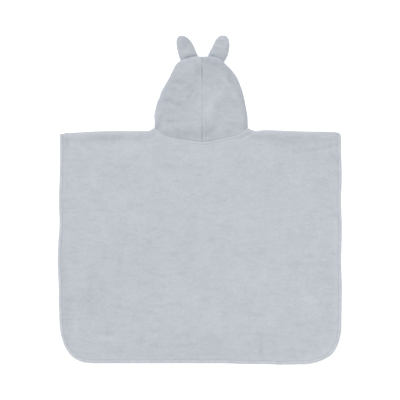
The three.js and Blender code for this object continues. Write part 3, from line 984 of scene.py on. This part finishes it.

# Dents and swells of the hood, with painted tone: shade in the dents, light on the swells, and some
# flat darker or paler patches
hood_dents = table(
    "x y long wide turn height pile",
    (-1, 303, 13, 8, 80, -1.2, -0.4),
    (-38, 298, 34, 16, 20, 0.4, 0.2),
    (13, 334, 12, 4, 0, -0.3, -0.5),
    (-4, 296, 8, 6, 0, -0.2, -0.2),
    (18, 322, 15, 10, 0, -0.5, -0.5),
    (40, 288, 30, 22, 0, 0.0, -0.08),
    (42, 316, 22, 9, -18, -0.6, -0.45),
    (68, 300, 22, 8, -58, -0.5, -0.35),
    (73, 280, 12, 5, -60, -0.7, -0.3),
    (-55, 255, 60, 50, 0, 0.0, -0.1),
    (60, 180, 50, 40, 0, 0.0, 0.08),
    (97, 242, 42, 8, -72, -0.8, -0.45),
    (108, 193, 26, 5, -84, -0.6, -0.35),
    (106, 170, 9, 6, -60, -0.6, -0.8),
    (-52, 278, 15, 5, -5, -1.0, -0.6),
    (-28, 261, 12, 5, 20, -0.8, -0.45),
    (-20, 247, 22, 4, 58, -0.7, -0.3),
    (-62, 262, 22, 4, -30, -0.4, -0.2),
    (-78, 235, 12, 6, 0, -1.0, -0.6),
    (-50, 224, 9, 6, 0, -1.0, -0.65),
    (-68, 185, 11, 5, -10, -0.9, -0.55),
    (-98, 174, 9, 7, 40, -0.7, -0.8),
    (-93, 189, 8, 5, 60, -0.3, -0.35),
    (-80, 156, 12, 7, 0, -0.5, -0.5),
    (-35, 153, 34, 9, 4, -1.1, -0.5),
    (19, 158, 16, 11, 0, -0.8, -0.4),
    (33, 170, 8, 4, 90, -0.4, -0.3),
    (43, 216, 6, 5, 0, -0.7, -0.45),
    (82, 228, 18, 4, -45, -0.7, -0.3),
    (68, 158, 9, 6, 0, -0.6, -0.45),
    (16, 278, 6, 5, 0, -0.2, -0.2),
    (24, 212, 30, 13, 76, 1.3, 0.6),
    (17, 206, 14, 7, 90, 0.2, 0.25),
    (33, 241, 14, 8, 30, 0.3, 0.2),
    (49, 252, 20, 7, 50, 0.5, 0.35),
    (15, 256, 12, 7, 0, 0.4, 0.4),
    (-2, 224, 12, 5, 90, 0.4, 0.4),
    (-7, 184, 18, 10, 90, 0.5, 0.35),
    (60, 278, 13, 5, -50, 0.7, 0.4),
    (36, 286, 20, 9, 10, 0.1, 0.3),
    (85, 242, 14, 6, -50, 0.6, 0.35),
    (-100, 199, 12, 5, 50, 0.6, 0.4),
    (-42, 175, 32, 7, 5, 0.6, 0.3),
    (-26, 199, 8, 5, 0, 0.4, 0.28),
    (48, 166, 14, 5, 50, 0.4, 0.3),
    (72, 190, 22, 12, 20, 0.5, 0.15),
    (-2, 325, 9, 6, 90, 0.3, 0.3),
    plain="turn pile",
)
# How deep and wide the seam up the middle of the hood is, and how dark its painted shade is
centre_seam = table(
    "y depth dark wide",
    (130, 0.6, 0.4, 1.5),
    (140, 0.8, 0.6, 1.8),
    (151, 1.2, 0.8, 2.0),
    (168, 1.1, 0.8, 1.9),
    (180, 0.6, 0.4, 1.3),
    (195, 0.4, 0.2, 1.2),
    (235, 0.4, 0.25, 1.2),
    (271, 0.6, 0.4, 1.3),
    (288, 1.0, 0.8, 1.6),
    (301, 1.4, 1.2, 2.0),
    (312, 1.0, 0.9, 1.6),
    (319, 0.2, 0.1, 1.3),
    (326, 0, 0, 1.2),
    (336, 0, 0, 1.2),
    plain="dark",
)


def hood_painted_shade(x, y):
    """Painted tone of the hood: shade in its dents and in the seam up its middle, light on its
    swells and beside the seam near the top.
    """
    dark, wide = (read(centre_seam, "y", column, y) for column in ("dark", "wide"))
    from_seam = abs(x - seam_x)
    # Painted tone of the dents and swells, and painted shade in the seam's groove.
    painted_light_and_shade = mound(x, y, hood_dents, "pile") - dark * bell(from_seam, wide)
    # Painted highlight on the ridges beside the seam near the top.
    return painted_light_and_shade + 0.3 * bell(from_seam - 3.6 * mm, 1.2 * mm) * ramp(y, 322 * mm, 300 * mm)


def curve_at(points, t):
    """A place on the smooth curve through the points, at a share of their number."""
    at = min(max(t, 0.0), 1.0) * (len(points) - 1)
    i = min(int(at), len(points) - 2)
    s = at - i
    p = [points[min(max(k, 0), len(points) - 1)] for k in (i - 1, i, i + 1, i + 2)]
    v0, v1 = (p[2] - p[0]) * 0.5, (p[3] - p[1]) * 0.5
    return (
        (2 * p[1] - 2 * p[2] + v0 + v1) * s**3
        + (-3 * p[1] + 3 * p[2] - 2 * v0 - v1) * s**2
        + v0 * s
        + p[1]
    )


def evenly(points, count):
    """count + 1 places the same distance apart on the smooth curve through the points."""
    fine = [curve_at(points, i / 600) for i in range(601)]
    run = [0.0]
    for a, b in zip(fine, fine[1:]):
        run.append(run[-1] + (b - a).length)
    places, k = [], 0
    for i in range(count + 1):
        goal = run[-1] * i / count
        while k < 599 and run[k + 1] < goal:
            k += 1
        places.append(fine[k].lerp(fine[k + 1], (goal - run[k]) / max(run[k + 1] - run[k], 1e-9)))
    return places


def neck_at(share):
    """The x of the neckline at a share of its half, closer together near the shoulders."""
    end = neck_left if share < 0 else neck_right
    eased = math.sin(0.5 * math.pi * abs(share)) ** 0.85
    return mix(seam_x, end, mix(abs(share), eased, 0.6))


neck_reach = 8 / 9


def floor_at(y):
    """Middle height of the hood's front part, which climbs over the ends of the ears."""
    return 0.5 * terry + ear_lift * ramp(y, lift_from, lift_to)


def back_lift(y):
    """How far the back of the hood is raised by the ears, in a longer and softer slope."""
    return 0.5 * terry + ear_lift * ramp(y, 266 * mm, 322 * mm)


def hood_half(side):
    """Half of the hood, level by level from the neck up: seam, back, fold, front."""
    sign = -1 if side == "left" else 1
    seam = seam_x + sign * 0.02 * mm
    outline = [Vector((x, y)) for x, y in zip(hood_outline[side], hood_outline["y"])]
    folds = evenly(outline, hood_levels)
    peak = folds[-1].y - ridge_fold - ridge_start
    neck_end = neck_at(sign * neck_reach)

    def neck_point(layer, x):
        return Vector((x, read(neckline, "x", layer, x) + seam_gap))

    def level_line(layer, level, start, inner, steps, crowd):
        first, last = neck_point(layer, seam_x), neck_point(layer, neck_end)
        bend = (1 - level) ** 3
        line = []
        for j in range(steps + 1):
            share = (j / steps) ** crowd
            p = neck_point(layer, mix(seam_x, neck_end, share))
            dip = p.y - mix(first.y, last.y, share)
            line.append((start.lerp(inner, share) + Vector((0.0, dip * bend)), share))
        return line

    grid = []
    for k, edge in enumerate(folds):
        level = k / hood_levels
        ahead, behind = folds[min(k + 1, hood_levels)], folds[max(k - 1, 0)]
        way = (ahead - behind).normalized()
        inward = Vector((way.y, -way.x)) if sign < 0 else Vector((-way.y, way.x))
        if k == hood_levels:
            inward = Vector((0.0, -1.0))
        wobble = 0.35 * mm * lumps(k * 3.4 * mm, sign, 21 * mm, 12.0) * math.sin(math.pi * level)
        fold = edge + inward * (0.5 * terry - pile_reach + wobble)
        spread = ramp(level, 0, 0.14)
        back_inner = neck_point("back", neck_end).lerp(fold + inward * ridge_fold, spread)
        front_inner = neck_point("front", neck_end).lerp(fold + inward * ridge_fold, spread)
        back_y = mix(neck_point("back", seam_x).y, peak, level**0.9)
        front_low = neck_point("front", seam_x).y
        front_y = mix(front_low, peak, level**0.9)
        gape = min(max((face_top - front_y) / (face_top - front_low), 0.0), 1.0)
        low = floor_at(back_inner.y)
        roll = read(hood_heights, "level", "roll", level)
        high = back_lift(back_inner.y) + roll
        crown = read(hood_heights, "level", "crown", level)

        line = []
        start = Vector((seam, back_y))
        for at, share in level_line("back", level, start, back_inner, back_steps, 1.35):
            z = back_lift(at.y) + roll + crown * (1 - share * share)
            line.append(Vector((*at, z)))
        for i in range(1, fold_steps):
            angle = math.pi * i / fold_steps
            inner = back_inner if 2 * i < fold_steps else front_inner
            at = inner.lerp(fold, math.sin(angle))
            line.append(Vector((*at, mix(low, high, 0.5 + 0.5 * math.cos(angle)))))
        start = Vector((seam + sign * face_gape * math.sin(math.pi * gape), front_y))
        front = level_line("front", level, start, front_inner, front_steps, 1.2)
        line += [Vector((*at, mix(floor_at(at.y), low, share**4))) for at, share in reversed(front)]
        if k == hood_levels:
            for p in line:
                p.x = seam
        for j, p in enumerate(line[: back_steps + fold_steps // 2]):
            from_seam = abs(p.x - seam)
            from_neck = p.y - read(neckline, "x", "back", min(max(p.x, neck_left), neck_right))
            hush = ramp(back_steps - j, 0, 6) * ramp(from_neck, 0, 14 * mm)
            p.z += mound(p.x, p.y, hood_dents) * hush
            p.z += hush * (0.22 * mm * lumps(p.x, p.y, 13 * mm, 3.0 + sign))
            p.z += hush * (0.25 * mm * lumps(p.x, p.y, 38 * mm, 6.0 + sign))
            depth, wide = (read(centre_seam, "y", column, p.y) for column in ("depth", "wide"))
            p.z -= depth * bell(from_seam, wide)
            p.z += 0.4 * mm * bell(from_seam - 4.0 * mm, 2.0 * mm) * ramp(p.y, 330 * mm, 315 * mm)
            p.z -= 0.3 * mm * bell(from_neck, 1.8 * mm) * (j < back_steps)
        grid.append(line)

    bm = laid_grid(len(grid[0]), len(grid), lambda column, row: grid[row][column])
    bmesh.ops.recalc_face_normals(bm, faces=bm.faces)
    store_painted_shade(bm, hood_painted_shade)
    return bm


hood_left = finish_piece(
    "hood_half_left", hood_half("left"), hood_terry, ["hood_left"], thickness=terry
)
hood_right = finish_piece(
    "hood_half_right", hood_half("right"), hood_terry, ["hood_right"], thickness=terry
)


# %% [markdown]
# Ears. Each is two layers sewn round the edge and turned, so the upper layer is slightly filled
# and rolls down at its rim, with a soft groove beside the seam allowance. A sheet is a grid
# wrapped round the middle of the ear: its columns go round and its rows go from the middle out.

# %% Ears
ear_rings = 22
ear_around = 96

# Creases of the ears, with painted tone: shade in the troughs, light on the ridges, and on the left
# ear a darker patch
left_creases = table(
    "x y long wide turn height pile",
    (-36, 362, 28, 18, 76, 0.0, -0.2),
    (-37, 371, 9, 6, -20, -0.6, -0.45),
    (-26, 369, 5, 5, 0, -0.3, -0.3),
    (-33, 361, 9, 4, -50, -0.4, -0.25),
    (-44, 352, 7, 3.5, 90, -0.4, -0.3),
    (-28, 349, 10, 6, 0, 0.6, 0.5),
    (-47, 345, 8, 4, 90, 0.3, 0.35),
    (-45, 380, 9, 3, 10, 0.2, 0.35),
    plain="turn pile",
)
right_creases = table(
    "x y long wide turn height pile",
    (47, 374, 9, 3, -8, -0.4, -0.3),
    (52, 367, 12, 3, -22, -0.5, -0.25),
    (46, 355, 5, 3.5, 0, -0.3, -0.28),
    (36, 352, 7, 4, 45, -0.4, -0.3),
    (50, 343, 6, 4, 0, -0.3, -0.3),
    (64, 354, 7, 3, 75, -0.3, -0.3),
    (60, 336, 6, 3, 60, -0.3, -0.5),
    (41, 362, 16, 3, -20, 0.7, 0.4),
    (62, 368, 9, 4, 80, 0.3, 0.35),
    (51, 380, 9, 3, -5, 0.2, 0.3),
    (30, 347, 6, 4, 60, 0.3, 0.25),
    plain="turn pile",
)
# The ridge of the hood, under which the ears come out
ridge = table(
    "x y", (-74, 290), (-62.6, 306), (-53.9, 320), (-42.6, 328), (-26.5, 333.2), (-8, 336.8),
    (6, 335.9), (28, 336.8), (42.3, 333.2), (51.6, 328), (59.4, 320), (73.8, 306),
)
# How dark the painted shade is in the tucks where the ears come out; below 0 they are painted paler
tuck_shadows = table(
    "x dark", (-50, -0.3), (-42, -0.5), (-36, 0.3), (-30, 1.2), (-21, 0.8), (-14, 1.2), (-4, 0.5),
    (10, 0.1), (25, 0.1), (30, 0.9), (35, 0.0), (44, -0.1), (53, 0.0), (60, 0.1), plain="dark",
)


def ear_painted_shade(creases):
    """Painted tone of an ear: shade in the tuck where it comes out from under the hood, and shade
    and light of its creases.
    """
    def painted_light_and_shade(x, y):
        above = y - read(ridge, "x", "y", x)
        tuck_shadow = read(tuck_shadows, "x", "dark", x)
        # Painted shade in a band just above the hood's ridge, where the ear goes in under it.
        return mound(x, y, creases, "pile") - tuck_shadow * bell(above - 3.4 * mm, 2.2 * mm)
    return painted_light_and_shade


def ear_outline(rows):
    """The edge of an ear as places: up one side, over the tip and down the other."""
    up = [Vector((x, y)) for x, y in zip(rows["from"], rows["y"])]
    down = [Vector((x, y)) for x, y in zip(rows["to"], rows["y"])]
    return evenly(up + down[::-1], ear_around * 3 // 4)


def ear_sheet(rows, layer, creases):
    """One layer of an ear. Only the upper one, the back, is puffed and creased."""
    edge = ear_outline(rows)
    base = [edge[-1].lerp(edge[0], i / (ear_around // 4)) for i in range(1, ear_around // 4)]
    ring = edge + base + [edge[0]]
    middle = sum(ring[:-1], Vector((0.0, 0.0))) / (len(ring) - 1)
    ring = [
        at + (at - middle).normalized() * (pile_reach + 0.35 * mm * lumps(at.x, at.y, 5 * mm, 11.0))
        for at in ring
    ]
    length = rows["y"][-1] - rows["y"][0]
    rim = 0.5 * ear_terry

    def place(column, row):
        out = 1 - (1 - row / ear_rings) ** 1.5
        at = middle.lerp(ring[column], out)
        from_rim = (ring[column] - at).length
        if layer == "front":
            return Vector((*at, rim))
        along = (at.y - rows["y"][0]) / length
        above = at.y - read(ridge, "x", "y", at.x)
        puff = (0.3 + 2.0 * ramp(above, 0, 10 * mm)) * mm * (1 - out**3)
        roll = 0.9 * mm * bell(from_rim, 1.6 * mm) * ramp(along, 0.1, 0.25)
        groove = 0.35 * mm * bell(from_rim - 5 * mm, 1.8 * mm) * ramp(along, 0.2, 0.3)
        z = rim + ear_terry + layer_gap + puff - roll * 0.35 - groove
        soft = 0.3 * mm * lumps(at.x, at.y, 9 * mm, 4.0) * (1 - out**4) * ramp(along, 0.2, 0.35)
        return Vector((*at, z + soft + mound(at.x, at.y, creases) * (1 - out**6)))

    bm = laid_grid(len(ring), ear_rings + 1, place)
    bmesh.ops.remove_doubles(bm, verts=bm.verts, dist=0.001 * mm)
    bmesh.ops.recalc_face_normals(bm, faces=bm.faces)
    if layer == "back":
        store_painted_shade(bm, ear_painted_shade(creases))
    return bm


ears = []
for side, rows, creases in (("left", left_ear, left_creases), ("right", right_ear, right_creases)):
    for layer in ("front", "back"):
        ears.append(
            finish_piece(
                f"ear_{side}_{layer}_layer", ear_sheet(rows, layer, creases), hood_terry,
                [f"ear_{side}_{layer}"], thickness=ear_terry,
            )
        )

# %% [markdown]
# Stitches. A sewn line is a row of short thread ends between needle holes, each sunk a little
# into the pile. Each stitch is a small ball drawn out along the seam, and a row is one mesh. A
# drawn line would be quicker, but it would show no holes close to.

# %% Rows of stitches
stitch_length = 2.6 * mm
stitch_hole = 0.5 * mm
thread_width = 0.55 * mm


def stitch_row(name, places):
    """A row of stitches through places that lie a stitch and a hole apart."""
    ball = bmesh.new()
    bmesh.ops.create_uvsphere(ball, u_segments=8, v_segments=4, radius=0.5)
    stitch = bpy.data.meshes.new("one_stitch")
    ball.to_mesh(stitch)
    ball.free()
    bm = bmesh.new()
    for a, b in zip(places, places[1:]):
        way = b - a
        size = Vector((way.length - stitch_hole, thread_width, 0.8 * thread_width))
        stand = Matrix.LocRotScale((a + b) / 2, way.to_track_quat("X", "Z"), size)
        stitch.transform(stand)
        bm.from_mesh(stitch)
        stitch.transform(stand.inverted())
    bpy.data.meshes.remove(stitch)
    print(name, "has", len(places) - 1, "stitches")
    return finish_piece(name, bm, thread, [])


def apart(points, step):
    """Places the same step apart along a line of points."""
    places, left_over = [points[0]], 0.0
    for a, b in zip(points, points[1:]):
        span = (b - a).length
        at = step - left_over
        while at <= span:
            places.append(a.lerp(b, at / span))
            at += step
        left_over = span - (at - step)
    return places


stitch_step = stitch_length + stitch_hole
count = 300
neck_line = []
for i in range(count + 1):
    x = mix(neck_left + 1 * mm, neck_right - 1 * mm, i / count)
    y = top_edge(x, "back") - neck_stitch
    z = panel_height("back", x, y, half_width - abs(x), neck_stitch) + 0.5 * terry + 0.1 * mm
    neck_line.append(Vector((x, y, z)))
stitch_row("neck_topstitching", apart(neck_line, stitch_step))

tape_line = []
stitch_in = 5.7 * mm
for at, out in tape_stations("back"):
    z = back_edge_middle + read(lip, "inward", "z", stitch_in) + 0.5 * tape_wall + 0.05 * mm
    tape_line.append(Vector((*(at - out * stitch_in), z)))
stitch_row("binding_stitches", apart(tape_line, stitch_step))


# %% [markdown]
# Sheets. The flat area of each piece of cloth and the length of the tape are worked out here.
# The flat sizes are those of the pattern pieces, with no seam allowances.

# %% Flat sizes
body_length = hem_depth + shoulder_y
body_width = 2 * half_width
corner_loss = 2 * (1 - math.pi / 4) * corner_radius**2


def area_under(height, start, end, steps=200):
    """Area between a line of heights and nothing, from start to end."""
    step = (end - start) / steps
    return abs(step) * sum(height(start + step * (i + 0.5)) for i in range(steps))


def panel_area(layer):
    """Flat area of a panel: its rectangle, less its corners and the scoop of its neckline."""
    scoop = area_under(lambda x: shoulder_y - read(neckline, "x", layer, x), neck_left, neck_right)
    return body_width * body_length - corner_loss - scoop


def hood_area(side):
    """Flat area of a hood half: both layers inside its outline, less the opening for the face."""
    end = neck_left if side == "left" else neck_right
    brim, top = hood_outline["y"][0], max(hood_outline["y"])
    area = 2 * area_under(lambda y: abs(read(hood_outline, "y", side, y) - seam_x), brim, top)
    for layer in ("back", "front"):
        area += area_under(lambda x: brim - read(neckline, "x", layer, x), seam_x, end)
    opening = 2 / math.pi * face_gape * (face_top - read(neckline, "x", "front", seam_x))
    return area - opening


def ear_area(rows):
    """Flat area of one layer of an ear."""
    def width(y):
        return read(rows, "y", "to", y) - read(rows, "y", "from", y)
    return area_under(width, rows["y"][0], rows["y"][-1])


panel_area("back")
panel_area("front")
tape_length = tape_step * (len(tape_stations("back")) - 1)
for piece, side in ((hood_left, "left"), (hood_right, "right")):
    hood_area(side)
for piece, rows in zip(ears, (left_ear, left_ear, right_ear, right_ear)):
    ear_area(rows)
